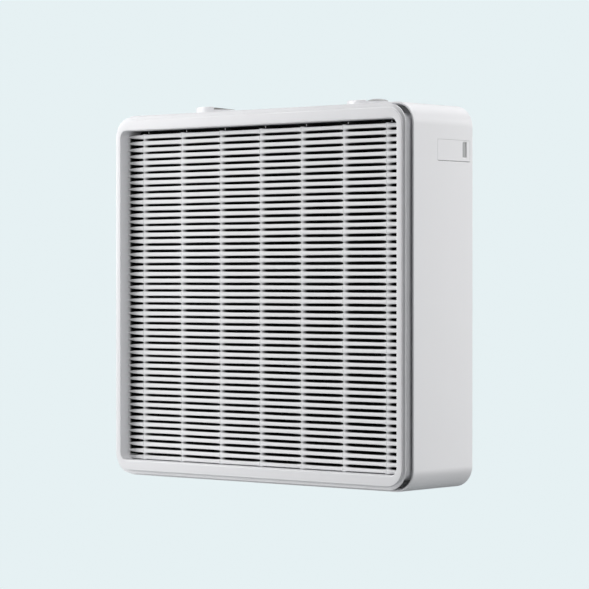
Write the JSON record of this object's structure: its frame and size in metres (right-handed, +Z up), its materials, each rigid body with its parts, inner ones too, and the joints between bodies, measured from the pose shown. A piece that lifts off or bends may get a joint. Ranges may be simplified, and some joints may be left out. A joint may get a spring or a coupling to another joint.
{
  "type": "heat recovery unit",
  "caption": "wall-hung room ventilator with a pleated filter in front, a crossflow heat exchanger, fans and dial-set dampers",
  "frame": {"origin": "middle of the face that rests on the wall", "axes": "+X right seen from the room, +Y into the wall, +Z up, millimetres in the source and metres here"},
  "size_m": [0.408, 0.1224, 0.4],
  "materials": {
    "white_housing": "satin moulded white",
    "white_frame": "satin moulded white",
    "filter_paper": "matte fibrous",
    "black_foam": "closed-cell foam",
    "grey_plastic": "fine moulded grain",
    "grip_grey": "satin moulded grey",
    "dark_plastic": "fine moulded grain",
    "bright_steel": "brushed",
    "exchanger_plates": "thin rolled sheet",
    "green_board": "solder-mask green"
  },
  "bodies": {
    "body": {"housing": "white_housing", "back_plate": "white_housing", "rear_liner": "black_foam", "intake_spigot": "grey_plastic", "exhaust_spigot": "grey_plastic", "cable_gland": "dark_plastic", "wall_screw_1": "bright_steel", "wall_screw_2": "bright_steel", "wall_screw_3": "bright_steel", "wall_screw_4": "bright_steel", "inner_collar": "white_frame", "mid_deck": "grey_plastic", "heat_exchanger_core": "exchanger_plates", "core_rail_right": "bright_steel", "core_rail_top": "bright_steel", "core_rail_left": "bright_steel", "core_rail_bottom": "bright_steel", "baffle_top": "black_foam", "baffle_bottom": "black_foam", "baffle_left": "black_foam", "baffle_right": "black_foam", "condensate_tray": "dark_plastic", "intake_damper_wall": "black_foam", "exhaust_damper_wall": "black_foam", "supply_fan_scroll": "dark_plastic", "supply_fan_motor": "bright_steel", "exhaust_fan_scroll": "dark_plastic", "exhaust_fan_motor": "bright_steel", "electronics_shelf": "grey_plastic", "circuit_board": "green_board", "power_supply": "bright_steel", "terminal_block": "dark_plastic", "hatch_pin": "bright_steel", "intake_sensor": "bright_steel", "extract_sensor": "bright_steel"},
    "filter_cassette": {"filter_frame": "white_frame", "filter_media": "filter_paper", "filter_net": "filter_paper", "filter_seal": "black_foam"},
    "hatch_door": {"hatch": "white_housing"},
    "intake_damper": {"intake_dial": "white_housing", "intake_dial_grip": "grip_grey", "intake_damper_shaft": "bright_steel", "intake_damper_vane": "dark_plastic"},
    "exhaust_damper": {"exhaust_dial": "white_housing", "exhaust_dial_grip": "grip_grey", "exhaust_damper_shaft": "bright_steel", "exhaust_damper_vane": "dark_plastic"},
    "supply_rotor": {"supply_fan_impeller": "dark_plastic", "supply_fan_cap": "bright_steel"},
    "exhaust_rotor": {"exhaust_fan_impeller": "dark_plastic", "exhaust_fan_cap": "bright_steel"}
  },
  "joints": [
    {"name": "cassette_slide", "type": "slide", "parent": "body", "child": "filter_cassette", "axis": [0, -1, 0], "range_m": [0, 0.06]},
    {"name": "hatch_hinge", "type": "hinge", "parent": "body", "child": "hatch_door", "pos_m": [0.2025, -0.0576, 0.1485], "axis": [0, 0, -1], "range_deg": [0, 90]},
    {"name": "intake_dial_turn", "type": "hinge", "parent": "body", "child": "intake_damper", "pos_m": [-0.106, -0.0474, 0.198], "axis": [0, 0, 1], "range_deg": [0, 90]},
    {"name": "exhaust_dial_turn", "type": "hinge", "parent": "body", "child": "exhaust_damper", "pos_m": [0.106, -0.0474, 0.198], "axis": [0, 0, 1], "range_deg": [0, 90]},
    {"name": "supply_fan_spin", "type": "hinge", "parent": "body", "child": "supply_rotor", "pos_m": [0.098, -0.04, -0.096], "axis": [0, 1, 0], "continuous": true},
    {"name": "exhaust_fan_spin", "type": "hinge", "parent": "body", "child": "exhaust_rotor", "pos_m": [0.028, -0.04, 0.128], "axis": [0, 1, 0], "continuous": true}
  ]
}
